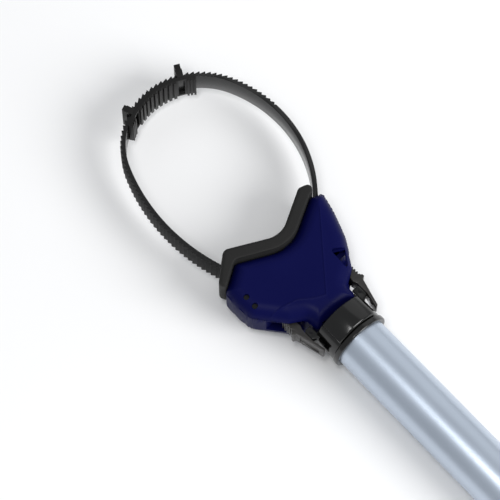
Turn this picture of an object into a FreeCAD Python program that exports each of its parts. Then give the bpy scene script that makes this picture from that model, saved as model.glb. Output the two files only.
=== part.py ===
import FreeCAD, Part
import math
import os

import Sketcher

# Long-handled sock aid: a loop of toothed strap on a ratchet head, clipped to a pole.
# Millimetres. The origin is the centre of the hanging hole in the end cap, +X runs along
# the pole towards the loop, +Z is the front of the head and -Z its flat rear.
# Head pieces are drawn from the head datum, the collar's rim on the pole side, and are
# placed along X by the sheet's head_start.

os.makedirs("parts", exist_ok=True)
doc = FreeCAD.newDocument("sock_aid")
Vec = FreeCAD.Vector

SIZES = {
    # pole and handle
    "pole_radius": 12.5, "pole_wall": 1.2, "head_start": 600.0, "tube_start": 12.0,
    "tube_in_collar": 11.4, "grip_radius": 14.6, "grip_length": 110.0, "grip_rings": 12,
    "plug_length": 22.0, "plug_play": 0.1, "tab_width": 22.0, "tab_thick": 8.0, "tab_end": 10.0,
    "hang_radius": 4.0, "ring_depth": 0.7,
    # adapter between the pole and the head
    "collar_radius": 13.9, "rim_radius": 14.5, "collar_end": 13.3, "collar_rim": 1.7,
    "tongue_length": 19.0, "tongue_width": 16.0, "tongue_thick": 8.0,
    "lug_half": 4.2, "ear_slot": 2.2, "rivet_ahead": 6.0, "rivet_radius": 1.6,
    "panel_radius": 15.1, "panel_angle": 91.0, "panel_start": 1.3, "panel_bevel": 0.7,
    # side levers
    "pivot_ahead": 15.2, "pivot_side": 14.6, "pivot_radius": 0.8, "running_play": 0.05,
    "lever_front": 4.6, "lever_rear": 3.2, "channel_front": 3.2, "channel_rear": 1.8,
    "lever_eye": 1.7, "eye_half": 2.0, "lever_leaf_half": 1.8,
    # head shells
    "front_face": 11.5, "rear_face": 11.0, "front_room": 7.0, "rear_room": 7.4,
    "edge_round": 2.4, "notch_front": 5.6, "notch_rear": 4.2, "pin_seat": 1.8,
    "peep_radius": 1.35, "lip_half": 2.5, "recess_floor": 7.9,
    # soft pad
    "pad_front": 12.0, "pad_rear": 10.4, "pad_round": 1.6,
    # strap
    "strap_half": 6.0, "strap_base": 1.4, "tooth_height": 1.1, "tooth_pitch": 2.45,
    "root_thick": 2.2, "strap_play": 0.4, "anchor_radius": 1.0,
    "loop_ahead": 115.9, "loop_side": -10.0, "loop_radius": 33.8,
    "left_join": 69.0, "right_join": 65.0,
    # ratchet
    "pawl_ahead": 44.7, "pawl_side": 26.0, "pawl_eye": 2.7, "pin_radius": 1.2,
    "stop_ahead": 39.2, "stop_side": 26.0, "pawl_half": 4.6, "pin_front": 10.2,
    "leaf_half": 3.0, "tab_sunk": 0.6,
    # slider on the far part of the loop
    "slider_half_angle": 36.0, "clip_angle": 24.0, "slider_turn": 2.0, "slider_gap": 0.35,
    "slider_plate": 1.3, "slider_rail": 1.4, "clip_left_reach": 39.2,
    "clip_right_reach": 40.6, "clip_width": 3.2, "clip_thick": 1.4, "clip_slot": 2.6,
    # fasteners
    "screw_radius": 1.5, "screw_head": 2.8, "head_depth": 2.2, "screw_reach": 6.0,
    "boss_radius": 2.8,
}

sheet = doc.addObject("Spreadsheet::Sheet", "sizes")
for row, (word, value) in enumerate(SIZES.items(), start=1):
    sheet.set(f"A{row}", word)
    sheet.set(f"B{row}", str(value))
    sheet.setAlias(f"B{row}", word)
doc.recompute()


def size(word):
    """A driving dimension, read from the sheet."""
    return float(sheet.get(word))


# ---------------------------------------------------------------- drawing helpers

def rounded(corners):
    """Lines and arcs of a closed outline from (x, y, radius) corners."""
    pieces = []
    starts, ends, arcs = [], [], []
    count = len(corners)
    for i, (x, y, radius) in enumerate(corners):
        here = Vec(x, y, 0)
        before = Vec(*corners[i - 1][:2], 0)
        after = Vec(*corners[(i + 1) % count][:2], 0)
        to_before, to_after = (before - here).normalize(), (after - here).normalize()
        if radius == 0:
            starts.append(here)
            ends.append(here)
            arcs.append(None)
            continue
        half = to_before.getAngle(to_after) / 2
        reach = radius / math.tan(half)
        middle = here + (to_before + to_after).normalize() * (radius / math.sin(half) - radius)
        starts.append(here + to_before * reach)
        ends.append(here + to_after * reach)
        arcs.append(Part.Arc(starts[-1], middle, ends[-1]))
    for i in range(count):
        if arcs[i]:
            pieces.append(arcs[i])
        pieces.append(Part.LineSegment(ends[i], starts[(i + 1) % count]))
    return pieces


def mirrored(corners):
    """The same outline on the other side of the pole's axis."""
    return [(x, -y, radius) for x, y, radius in corners]


def on_side(corners, side):
    """The corners on the left for side 1, mirrored to the right for -1."""
    return corners if side > 0 else mirrored(corners)


def rectangle(x_low, x_high, y_low, y_high, radius=0):
    return rounded([(x_low, y_low, radius), (x_high, y_low, radius),
                    (x_high, y_high, radius), (x_low, y_high, radius)])


def new_body(name):
    """A body at the head datum."""
    body = doc.addObject("PartDesign::Body", name)
    body.Label = name
    body.setExpression("Placement.Base.x", "sizes.head_start")
    return body


def sketch_on(body, role, name, offset="0"):
    """A sketch on one of the body's own origin planes, lifted along the normal."""
    plane = next(f for f in body.Origin.OriginFeatures if f.Role == role)
    sketch = body.newObject("Sketcher::SketchObject", name)
    sketch.AttachmentSupport = (plane, "")
    sketch.MapMode = "FlatFace"
    sketch.setExpression("AttachmentOffset.Base.z", offset)
    return sketch


def outline_sketch(body, name, pieces, offset="0"):
    sketch = sketch_on(body, "XY_Plane", name, offset)
    sketch.addGeometry(pieces, False)
    return sketch


def circle_sketch(body, name, centre, radius, offset="0"):
    """A circle whose radius is an expression of the sheet."""
    sketch = sketch_on(body, "XY_Plane", name, offset)
    sketch.addGeometry(Part.Circle(Vec(*centre, 0), Vec(0, 0, 1), 1.0), False)
    sketch.addConstraint(Sketcher.Constraint("Radius", 0, 1.0))
    sketch.setExpression("Constraints[0]", radius)
    return sketch


def pad(body, name, sketch, length):
    feature = body.newObject("PartDesign::Pad", name)
    feature.Profile = sketch
    feature.setExpression("Length", length)
    doc.recompute()
    return feature


def pocket(body, name, sketch, length):
    """Cuts from the sketch towards -Z, and must take something away."""
    before = body.Tip.Shape.Volume
    feature = body.newObject("PartDesign::Pocket", name)
    feature.Profile = sketch
    feature.setExpression("Length", length)
    doc.recompute()
    if not 0.3 * before < feature.Shape.Volume < before - 0.01:
        raise RuntimeError(f"{body.Label}: {name} doesn't cut as meant")
    return feature


def revolve(body, name, sketch, angle="360", midplane=False):
    feature = body.newObject("PartDesign::Revolution", name)
    feature.Profile = sketch
    feature.ReferenceAxis = (sketch, ["H_Axis"])
    feature.setExpression("Angle", angle)
    feature.Midplane = midplane
    doc.recompute()
    return feature


def dress(body, kind, name, wanted, amount):
    """A Fillet or Chamfer on the edges that the test accepts."""
    base = body.Tip
    edges = [f"Edge{i}" for i, edge in enumerate(base.Shape.Edges, start=1) if wanted(edge)]
    if not edges:
        raise RuntimeError(f"{body.Label}: {name} found no edge")
    feature = body.newObject(f"PartDesign::{kind}", name)
    feature.Base = (base, edges)
    feature.setExpression("Radius" if kind == "Fillet" else "Size", amount)
    doc.recompute()
    return feature


def lies_at(height):
    """Edges that lie in the plane at this height."""
    return lambda edge: all(abs(v.Z - height) < 1e-6 for v in edge.Vertexes) and \
        abs(edge.BoundBox.ZLength) < 1e-6


def along_x(name, radius, length, start):
    """A Part cylinder along X, its sizes bound to the sheet."""
    cylinder = doc.addObject("Part::Cylinder", name)
    cylinder.Placement.Rotation = FreeCAD.Rotation(Vec(0, 1, 0), 90)
    cylinder.setExpression("Radius", radius)
    cylinder.setExpression("Height", length)
    cylinder.setExpression("Placement.Base.x", start)
    return cylinder


def upright(name, radius, low, high, ahead, side):
    """A Part cylinder along Z at a point given from the head datum."""
    cylinder = doc.addObject("Part::Cylinder", name)
    cylinder.Label = name
    cylinder.setExpression("Radius", radius)
    cylinder.setExpression("Height", f"({high}) - ({low})")
    cylinder.setExpression("Placement.Base.x", f"sizes.head_start + ({ahead})")
    cylinder.setExpression("Placement.Base.y", side)
    cylinder.setExpression("Placement.Base.z", low)
    return cylinder


def joined(name, kind, *members):
    """A Part boolean of two or more objects: MultiFuse, or Cut of exactly two."""
    result = doc.addObject(f"Part::{kind}", name)
    if kind == "Cut":
        result.Base, result.Tool = members
    else:
        result.Shapes = list(members)
    result.Label = name
    return result


def plain_feature(name, shape):
    """A Part::Feature at the head datum, for a shape that sketches don't suit."""
    feature = doc.addObject("Part::Feature", name)
    feature.Label = name
    feature.Shape = shape
    at_datum = FreeCAD.Placement(Vec(size("head_start"), 0, 0), FreeCAD.Rotation())
    feature.Placement = at_datum * shape.Placement
    return feature


# ---------------------------------------------------------------- strap's line
# Three tangent arcs in the mid-plane, then a straight run into each limb of the head.

LOOP_CENTRE = Vec(size("loop_ahead"), size("loop_side"), 0)
LEFT_TIP = Vec(66.0, 23.0, 0)
RIGHT_TIP = Vec(66.0, -33.0, 0)
TAIL_RUN = 31.0
ROOT_RUN = 17.0


def side_arc(join_degrees, tip, sign):
    """Centre and radius of the arc that leaves the far arc at the join and meets the tip."""
    join = math.radians(join_degrees)
    outward = Vec(math.cos(join), sign * math.sin(join), 0)
    reach = tip - LOOP_CENTRE
    radius = size("loop_radius")
    extra = (reach.Length ** 2 - radius ** 2) / (2 * (radius - reach.dot(outward)))
    return LOOP_CENTRE - outward * extra, radius + extra


def loop_stretches():
    """The strap's inner face from its tail to its root, as (length, point, normal) stretches."""
    left_centre, left_radius = side_arc(size("left_join"), LEFT_TIP, 1)
    right_centre, right_radius = side_arc(size("right_join"), RIGHT_TIP, -1)

    def arc(centre, radius, start, end):
        def at(s):
            angle = start + (end - start) * s / length
            normal = Vec(math.cos(angle), math.sin(angle), 0)
            return centre + normal * radius, normal
        length = abs(end - start) * radius
        return length, at

    def line(start, end, normal):
        length = (end - start).Length
        return length, lambda s: (start + (end - start) * (s / length), normal)

    left_end = (LEFT_TIP - left_centre).normalize()
    right_end = (RIGHT_TIP - right_centre).normalize()
    tail = LEFT_TIP + Vec(-left_end.y, left_end.x, 0) * TAIL_RUN
    root = RIGHT_TIP + Vec(right_end.y, -right_end.x, 0) * ROOT_RUN
    join_left, join_right = math.radians(size("left_join")), -math.radians(size("right_join"))
    return [
        line(tail, LEFT_TIP, left_end),
        arc(left_centre, left_radius, math.atan2(left_end.y, left_end.x), join_left),
        arc(LOOP_CENTRE, size("loop_radius"), join_left, join_right),
        arc(right_centre, right_radius, join_right, math.atan2(right_end.y, right_end.x)),
        line(RIGHT_TIP, root, right_end),
    ]


STRETCHES = loop_stretches()
STRAP_LENGTH = sum(length for length, _ in STRETCHES)


def strap_at(s, height=0.0):
    """A point at s along the strap and at a height off its inner face."""
    for length, at in STRETCHES[:-1]:
        if s <= length:
            break
        s -= length
    else:
        length, at = STRETCHES[-1]
    point, normal = at(min(s, length))
    return point + normal * height


def strap_band(s_low, s_high, low, high):
    """A rectangle along one straight run of the strap."""
    corners = [strap_at(s_low, low), strap_at(s_high, low),
               strap_at(s_high, high), strap_at(s_low, high)]
    return [Part.LineSegment(a, b) for a, b in zip(corners, corners[1:] + corners[:1])]


# ---------------------------------------------------------------- pole and handle

def make_pole_tube():
    length = "sizes.head_start + sizes.tube_in_collar - sizes.tube_start"
    outside = along_x("tube_outside", "sizes.pole_radius", length, "sizes.tube_start")
    inside = along_x("tube_inside", "sizes.pole_radius - sizes.pole_wall", length,
                     "sizes.tube_start")
    bore = upright("tube_rivet_bore", "sizes.rivet_radius", "-sizes.grip_radius",
                   "sizes.grip_radius", "sizes.rivet_ahead", "0")
    return joined("pole_tube", "Cut", outside, joined("tube_hollow", "MultiFuse", inside, bore))


def make_end_cap():
    """Plug, flange and a rounded tab with the hanging hole."""
    body = doc.addObject("PartDesign::Body", "end_cap")
    body.Label = "end_cap"
    flange = size("tube_start") - 3
    profile = sketch_on(body, "XY_Plane", "plug_half_section")
    reach, bore = size("pole_radius") - size("pole_wall") - size("plug_play"), 7.0
    depth = size("tube_start") + size("plug_length")
    profile.addGeometry(rounded([
        (flange, 0, 0), (flange + 4.5, 0, 0), (flange + 4.5, bore, 0), (depth, bore, 0),
        (depth, reach, 0.8), (size("tube_start"), reach, 0),
        (size("tube_start"), size("grip_radius"), 0), (flange, size("grip_radius"), 1.2)]), False)
    revolve(body, "plug", profile)
    half = size("tab_width") / 2
    tab = outline_sketch(body, "tab_outline", rounded([
        (-size("tab_end"), -half, 8), (flange + 1, -half, 0), (flange + 1, half, 0),
        (-size("tab_end"), half, 8)]), "-sizes.tab_thick / 2")
    pad(body, "tab", tab, "sizes.tab_thick")
    hole = circle_sketch(body, "hole_outline", (0, 0), "sizes.hang_radius",
                         "sizes.tab_thick / 2")
    pocket(body, "hang_hole", hole, "sizes.tab_thick")
    return body


def make_grip_sleeve():
    """Rubber sleeve with shallow rings."""
    start, length = size("tube_start"), size("grip_length")
    rings = int(size("grip_rings"))
    step = length / rings
    outer = size("grip_radius")
    valley = outer - size("ring_depth")
    profile = [(start, size("pole_radius"), 0), (start + length, size("pole_radius"), 0)]
    for i in reversed(range(rings)):
        left = start + i * step
        profile += [(left + step * 0.85, outer, 0.6), (left + step * 0.15, outer, 0.6)]
        if i:
            profile += [(left + step * 0.1, valley, 0), (left - step * 0.1, valley, 0)]
    body = doc.addObject("PartDesign::Body", "grip_sleeve")
    body.Label = "grip_sleeve"
    sketch = sketch_on(body, "XY_Plane", "ringed_half_section")
    sketch.addGeometry(rounded(profile), False)
    revolve(body, "sleeve", sketch)
    return body


# ---------------------------------------------------------------- adapter

LUG = [(11.0, 12.75, 0), (17.8, 12.75, 0), (17.8, 16.2, 1.2), (12.6, 16.2, 0.8), (11.0, 13.6, 0)]
EAR_GAP = [(13.4, 12.0, 0), (19.0, 12.0, 0), (19.0, 20.0, 0), (13.4, 20.0, 0)]


def make_pole_adapter():
    """Collar over the tube's end, spigot inside it, tongue for the head and lever lugs."""
    body = new_body("pole_adapter")
    spigot = size("pole_radius") - size("pole_wall") - size("plug_play")
    floor, end = size("tube_in_collar"), size("collar_end")
    rim = -size("collar_rim")
    section = sketch_on(body, "XY_Plane", "collar_half_section")
    section.addGeometry(rounded([
        (-20, 7, 0), (floor, 7, 0), (floor, 0, 0), (end, 0, 0), (end, size("collar_radius"), 0.8),
        (1.2, size("collar_radius"), 0.4), (0.5, size("rim_radius"), 0.4),
        (rim, size("rim_radius"), 0.6), (rim, size("pole_radius") + 0.02, 0),
        (floor, size("pole_radius") + 0.02, 0), (floor, spigot, 0), (-20, spigot, 0.8)]), False)
    revolve(body, "collar", section)

    half = size("tongue_width") / 2
    tongue = outline_sketch(body, "tongue_outline", rounded([
        (end - 1, -half, 0), (end + size("tongue_length"), -half, 2.5),
        (end + size("tongue_length"), half, 2.5), (end - 1, half, 0)]),
        "-sizes.tongue_thick / 2")
    pad(body, "tongue", tongue, "sizes.tongue_thick")
    for side, name in ((1, "left"), (-1, "right")):
        shape = outline_sketch(body, f"{name}_lug_outline", rounded(on_side(LUG, side)),
                               "-sizes.lug_half")
        pad(body, f"{name}_lug", shape, "sizes.lug_half * 2")
        cut = outline_sketch(body, f"{name}_ear_gap_outline", rounded(on_side(EAR_GAP, side)),
                             "sizes.ear_slot")
        pocket(body, f"{name}_ear_gap", cut, "sizes.ear_slot * 2")
        hole = circle_sketch(body, f"{name}_pin_hole_outline",
                             (size("pivot_ahead"), side * size("pivot_side")),
                             "sizes.pivot_radius", "sizes.lug_half")
        pocket(body, f"{name}_pin_hole", hole, "sizes.lug_half * 2")
    rivet = circle_sketch(body, "rivet_hole_outline", (size("rivet_ahead"), 0),
                          "sizes.rivet_radius", "sizes.collar_radius")
    pocket(body, "rivet_hole", rivet, "sizes.collar_radius * 2")
    return body


def make_adapter_panel():
    """Curved cover plate on the front of the collar, bevelled all round."""
    body = new_body("adapter_panel")
    low, high = size("collar_radius") + 0.02, size("panel_radius")
    section = sketch_on(body, "XZ_Plane", "panel_section")
    section.addGeometry(rectangle(size("panel_start"), size("collar_end") - 0.2, low, high), False)
    revolve(body, "panel", section, "sizes.panel_angle", midplane=True)
    dress(body, "Chamfer", "panel_bevel",
          lambda edge: all(math.hypot(v.Y, v.Z) > high - 0.01 for v in edge.Vertexes),
          "sizes.panel_bevel")
    return body


def make_adapter_rivet():
    """Rivet through the collar, the tube and the spigot, under the panel."""
    return upright("adapter_rivet", "sizes.rivet_radius", "-sizes.collar_radius + 0.2",
                   "sizes.collar_radius - 0.2", "sizes.rivet_ahead", "0")


# ---------------------------------------------------------------- head

SIDE = [   # the two shells' outline, counter-clockwise from the neck's right side
    (13.5, -11.4, 2.8), (20.0, -12.4, 2.0), (24.6, -19.6, 2.8), (38.2, -27.6, 20.0),
    (50.4, -31.9, 40.0), (60.2, -34.2, 2.8), (62.6, -28.2, 2.8), (49.8, -5.3, 18.0),
    (61.2, 18.3, 2.8), (53.2, 30.8, 3.0), (46.0, 31.2, 12.0), (37.4, 30.4, 8.0),
    (24.2, 19.4, 2.8), (20.0, 12.4, 2.0), (13.5, 11.4, 2.8)]
LIP = [(56.5, -32.0, 0), (60.3, -35.2, 0.6), (62.2, -34.3, 0.6), (61.4, -31.5, 0)]
ROOM = [   # the hollow for the ratchet, the strap's ends and the tongue
    (12.0, -8.4, 0), (30.5, -8.4, 2.0), (34.4, -11.5, 1.0), (34.4, -22.2, 2.0),
    (50.4, -29.2, 4.0), (58.2, -30.8, 1.5), (59.4, -28.0, 1.5), (46.6, -5.3, 16.0),
    (57.4, 18.0, 2.0), (51.6, 29.0, 1.5), (38.6, 28.9, 2.5), (34.4, 23.5, 1.5),
    (34.4, 11.5, 1.0), (30.5, 8.4, 2.0), (12.0, 8.4, 0)]
NOTCH = [(19.0, 13.2, 0), (32.0, 13.2, 1.5), (32.0, 40.0, 0), (19.0, 40.0, 0)]
FRONT_RECESS = [(37.0, -16.6, 1.0), (33.6, -23.4, 1.0), (24.6, -16.4, 1.0)]
SCREWS = [(45.5, -25.4), (52.0, 12.5), (24.0, -11.0), (24.0, 11.0)]
SLOT_S = {"left": (20.0, TAIL_RUN + 3.0), "right": (STRAP_LENGTH - ROOT_RUN - 3.0,
                                                     STRAP_LENGTH - 4.0)}


def slot_pieces(side):
    """The strap's way through a tip of the head."""
    play = size("strap_play")
    thick = size("strap_base") + size("tooth_height") if side == "left" else size("root_thick")
    return strap_band(*SLOT_S[side], -play, thick + play)


def head_pockets(body, top, depth):
    """Cuts that both shells share; the pins' holes start at top and go down by depth."""
    front = body.Label == "front_shell"
    room = "sizes.front_room" if front else "sizes.rear_room"
    cut = outline_sketch(body, "room_outline", rounded(ROOM), room if front else "0")
    pocket(body, "room", cut, room)
    for side, corners in (("left", NOTCH), ("right", mirrored(NOTCH))):
        cut = outline_sketch(body, f"{side}_notch_outline", rounded(corners),
                             "sizes.notch_front" if front else "0")
        pocket(body, f"{side}_notch", cut, "sizes.notch_front" if front else "sizes.notch_rear")
        cut = outline_sketch(body, f"{side}_slot_outline", slot_pieces(side),
                             "sizes.strap_half + sizes.strap_play" if front else "0")
        pocket(body, f"{side}_slot", cut, "sizes.strap_half + sizes.strap_play")
    for name in ("pawl", "stop"):
        cut = circle_sketch(body, f"{name}_hole_outline",
                            (size(f"{name}_ahead"), size(f"{name}_side")),
                            "sizes.peep_radius" if front else "sizes.pin_radius", top)
        pocket(body, f"{name}_hole", cut, depth)


def make_front_shell():
    body = new_body("front_shell")
    outline = outline_sketch(body, "outline", rounded(SIDE))
    pad(body, "block", outline, "sizes.front_face")
    dress(body, "Fillet", "soft_edge", lies_at(size("front_face")), "sizes.edge_round")
    lip = outline_sketch(body, "lip_outline", rounded(LIP))
    pad(body, "lip", lip, "sizes.lip_half")
    head_pockets(body, "sizes.front_face", "sizes.front_face - sizes.front_room + 1")
    cut = outline_sketch(body, "recess_outline", rounded(FRONT_RECESS), "sizes.front_face")
    pocket(body, "front_recess", cut, "sizes.front_face - sizes.recess_floor")
    add_screw_seats(body)
    return body


def add_screw_seats(body):
    """A boss round each screw inside the room, and the screw's bore."""
    front = body.Label == "front_shell"
    room = "sizes.front_room" if front else "sizes.rear_room"
    for i, place in enumerate(SCREWS):
        boss = circle_sketch(body, f"boss_{i}_outline", place, "sizes.boss_radius",
                             "0" if front else f"-{room} - 0.5")
        pad(body, f"boss_{i}", boss, f"{room} + 0.5")
        top, depth = ("sizes.screw_reach", "sizes.screw_reach") if front else \
            ("0", "sizes.rear_face")
        bore = circle_sketch(body, f"screw_bore_{i}_outline", place, "sizes.screw_radius", top)
        pocket(body, f"screw_bore_{i}", bore, depth)
        if not front:
            seat = circle_sketch(body, f"screw_seat_{i}_outline", place, "sizes.screw_head + 0.1",
                                 "-sizes.rear_face + sizes.head_depth")
            pocket(body, f"screw_seat_{i}", seat, "sizes.head_depth")


WINDOW = [(-8.4, -6.6, 1.2), (-2.6, -7.8, 1.2), (-0.6, -3.6, 1.2), (-4.9, -0.3, 1.0),
          (-6.6, -0.2, 1.0), (-9.9, -3.6, 1.2)]     # from the pawl's pin


def make_rear_shell():
    body = new_body("rear_shell")
    outline = outline_sketch(body, "outline", rounded(SIDE), "-sizes.rear_face")
    pad(body, "block", outline, "sizes.rear_face")
    dress(body, "Fillet", "soft_edge", lies_at(-size("rear_face")), "sizes.edge_round")
    lip = outline_sketch(body, "lip_outline", rounded(LIP), "-sizes.lip_half")
    pad(body, "lip", lip, "sizes.lip_half")
    head_pockets(body, "-sizes.rear_room + 1", "sizes.pin_seat + 1")
    add_screw_seats(body)
    window = [(size("pawl_ahead") + x, size("pawl_side") + y, r) for x, y, r in WINDOW]
    cut = outline_sketch(body, "tab_window_outline", rounded(window), "-sizes.rear_room + 1")
    pocket(body, "tab_window", cut, "sizes.rear_face")
    return body


PAD = [   # band along the V and round both tips
    (54.1, 29.5, 0), (61.2, 18.3, 2.8), (49.8, -5.3, 18.0), (62.6, -28.2, 2.8),
    (61.6, -30.8, 0), (66.7, -31.6, 2.3), (68.3, -26.2, 2.3), (56.4, -5.3, 12.0),
    (68.4, 18.7, 3.2), (57.0, 31.6, 1.8)]


def make_v_pad():
    body = new_body("v_pad")
    outline = outline_sketch(body, "outline", rounded(PAD), "-sizes.pad_rear")
    pad(body, "band", outline, "sizes.pad_front + sizes.pad_rear")
    for name, height in (("front_round", size("pad_front")), ("rear_round", -size("pad_rear"))):
        dress(body, "Fillet", name,
              lambda edge, h=height: lies_at(h)(edge) and is_outer_pad_edge(edge),
              "sizes.pad_round")
    for side in ("left", "right"):
        cut = outline_sketch(body, f"{side}_slot_outline", slot_pieces(side),
                             "sizes.pad_front" if side == "right" else
                             "sizes.strap_half + sizes.strap_play")
        pocket(body, f"{side}_slot", cut, "sizes.pad_front + sizes.pad_rear"
               if side == "right" else "(sizes.strap_half + sizes.strap_play) * 2")
    return body


def is_outer_pad_edge(edge):
    """True on the side of the pad that faces the foot, not on the seam with the shells."""
    middle = edge.valueAt((edge.FirstParameter + edge.LastParameter) / 2)
    seam = Part.Wire([piece.toShape() for piece in rounded(SIDE)])
    return seam.distToShape(Part.Vertex(Vec(middle.x, middle.y, 0)))[0] > 1.0


def make_shell_screws():
    """Four screws from the rear, their socket heads sunk below the rest face."""
    seat = -size("rear_face") + size("head_depth")
    head_thick = 1.7
    shapes = []
    for x, y in SCREWS:
        shank = Part.makeCylinder(size("screw_radius"), size("screw_reach") - 0.2 - seat,
                                  Vec(x, y, seat))
        head = Part.makeCylinder(size("screw_head"), head_thick, Vec(x, y, seat - head_thick))
        hexagon = [Vec(x + 1.3 * math.cos(math.radians(60 * i)),
                       y + 1.3 * math.sin(math.radians(60 * i)), seat - head_thick)
                   for i in range(7)]
        socket = Part.Face(Part.makePolygon(hexagon)).extrude(Vec(0, 0, 1.0))
        shapes.append(shank.fuse(head).removeSplitter().cut(socket))
    return plain_feature("shell_screws", Part.Compound(shapes))


# ---------------------------------------------------------------- strap

ROOT_START = 62.0     # the plain, thicker end that is pinned in the right limb


def make_strap():
    """Inner face as one smooth line, outer face as saw teeth, steep towards the root."""
    base, pitch = size("strap_base"), size("tooth_pitch")
    top = base + size("tooth_height")
    plain = STRAP_LENGTH - ROOT_START
    outside = []
    for i in range(int(plain / pitch)):
        s = i * pitch
        outside += [strap_at(s, base), strap_at(s + 0.84 * pitch, top),
                    strap_at(s + 0.94 * pitch, top)]
    outside += [strap_at(plain, base), strap_at(plain + 0.6, size("root_thick"))]
    steps = 40
    outside += [strap_at(plain + 0.6 + (ROOT_START - 0.6) * i / steps, size("root_thick"))
                for i in range(1, steps + 1)]
    edges = [Part.LineSegment(a, b).toShape() for a, b in zip(outside, outside[1:])]
    edges.append(Part.LineSegment(outside[-1], strap_at(STRAP_LENGTH)).toShape())
    inside, s = [], 0.0
    for length, at in STRETCHES:
        start, middle, end = (at(length * part)[0] for part in (0, 0.5, 1))
        straight = (end - start).Length > length - 1e-6
        curve = Part.LineSegment(start, end) if straight else Part.Arc(start, middle, end)
        inside.append(curve.toShape())
    edges += list(reversed(inside))
    edges.append(Part.LineSegment(strap_at(0.0), outside[0]).toShape())
    face = Part.Face(Part.Wire(Part.__sortEdges__(edges)))
    solid = face.extrude(Vec(0, 0, 2 * size("strap_half")))
    solid.translate(Vec(0, 0, -size("strap_half")))
    bore = size("anchor_radius") + size("running_play")
    pins = [Part.makeCylinder(bore, 40, strap_at(s, size("root_thick") / 2) - Vec(0, 0, 20))
            for s in ANCHORS]
    return plain_feature("strap", solid.cut(pins))


ANCHORS = (STRAP_LENGTH - 2.6, STRAP_LENGTH - 6.6)


def make_anchor_pins():
    """Two pins across the strap's root."""
    pins = []
    for s in ANCHORS:
        foot = strap_at(s, size("root_thick") / 2) - Vec(0, 0, size("rear_room"))
        height = size("rear_room") + size("front_room")
        pins.append(Part.makeCylinder(size("anchor_radius"), height, foot))
    return plain_feature("strap_anchor_pins", Part.Compound(pins))


# ---------------------------------------------------------------- ratchet

TIP_S = 6.7           # where the pawl's tip meets the strap, from the tail


def make_pawl():
    """Eye on the pin and an arm whose edge drops between two teeth."""
    body = new_body("pawl")
    top = size("strap_base") + size("tooth_height")
    index = math.floor(TIP_S / size("tooth_pitch"))
    face = (index + 0.94) * size("tooth_pitch")
    edge = strap_at(face + 0.95, top - 0.3)
    heel = strap_at(face + 2.4, top + 0.75)
    nose = strap_at(face + 0.75, top + 1.5)
    hub = (size("pawl_ahead"), size("pawl_side"))
    arm = outline_sketch(body, "arm_outline", rounded([
        (edge.x, edge.y, 0.15), (heel.x, heel.y, 0), (hub[0] + 1.2, hub[1] - 1.4, 0),
        (hub[0] - 1.5, hub[1] + 1.4, 0), (nose.x, nose.y, 0.4)]), "-sizes.pawl_half")
    pad(body, "arm", arm, "sizes.pawl_half * 2")
    eye = circle_sketch(body, "eye_outline", hub, "sizes.pawl_eye", "-sizes.pawl_half")
    pad(body, "eye", eye, "sizes.pawl_half * 2")
    hole = circle_sketch(body, "hole_outline", hub, "sizes.pin_radius + sizes.running_play",
                         "sizes.pawl_half")
    pocket(body, "hole", hole, "sizes.pawl_half * 2")
    return body


def make_pin(name):
    return upright(f"{name}_pin", "sizes.pin_radius", "-sizes.rear_room - sizes.pin_seat",
                   "sizes.pin_front", f"sizes.{name}_ahead", f"sizes.{name}_side")


def make_pawl_spring():
    """Leaf over the stop pin, its free end behind the pawl's arm."""
    leaf = [(38.2, 27.45, 0), (40.6, 27.45, 1.2), (40.6, 23.6, 0), (40.9, 23.6, 0),
            (40.9, 27.8, 1.5), (38.2, 27.8, 0)]
    body = new_body("pawl_spring")
    outline = outline_sketch(body, "outline", rounded(leaf), "-sizes.leaf_half")
    pad(body, "leaf", outline, "sizes.leaf_half * 2")
    return body


def make_release_tab():
    """Thumb tab on the pawl, reached through the rear shell's curved window."""
    body = new_body("release_tab")
    hub = (size("pawl_ahead"), size("pawl_side"))
    grip = [(hub[0] - 7.6, hub[1] - 5.8, 1.0), (hub[0] - 2.8, hub[1] - 6.9, 0.8),
            (hub[0] - 1.4, hub[1] - 4.0, 0.8), (hub[0] - 5.2, hub[1] - 2.4, 1.0)]
    outline = outline_sketch(body, "outline", rounded(grip), "-sizes.rear_face + sizes.tab_sunk")
    pad(body, "tab", outline, "sizes.rear_face - sizes.tab_sunk - sizes.pawl_half")
    return body


# ---------------------------------------------------------------- side levers

LEVER = [   # one lever's outline from its foot to its claw
    (5.0, 14.95, 0.5), (12.0, 16.5, 0), (18.6, 16.5, 0.3), (20.8, 15.7, 1.0), (28.2, 16.8, 0.5),
    (28.4, 19.3, 0.5), (27.4, 20.4, 0.4), (20.9, 20.4, 0), (20.4, 21.2, 0.3), (19.3, 21.2, 0.3),
    (18.6, 19.8, 0), (5.2, 16.2, 0.5)]
NECK = [(13.6, 14.6, 0), (16.8, 14.6, 0), (16.8, 17.5, 0), (13.6, 17.5, 0)]
CHANNEL = [(7.4, 16.25, 0), (17.0, 18.75, 0), (17.0, 25.0, 0), (7.4, 25.0, 0)]
CLAW_RIBS = (21.6, 23.1, 24.6, 26.1)
LEVER_LEAF = [(10.3, 16.1, 0), (7.9, 14.93, 0.1), (8.1, 14.64, 0.1), (11.3, 16.32, 0)]


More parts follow.
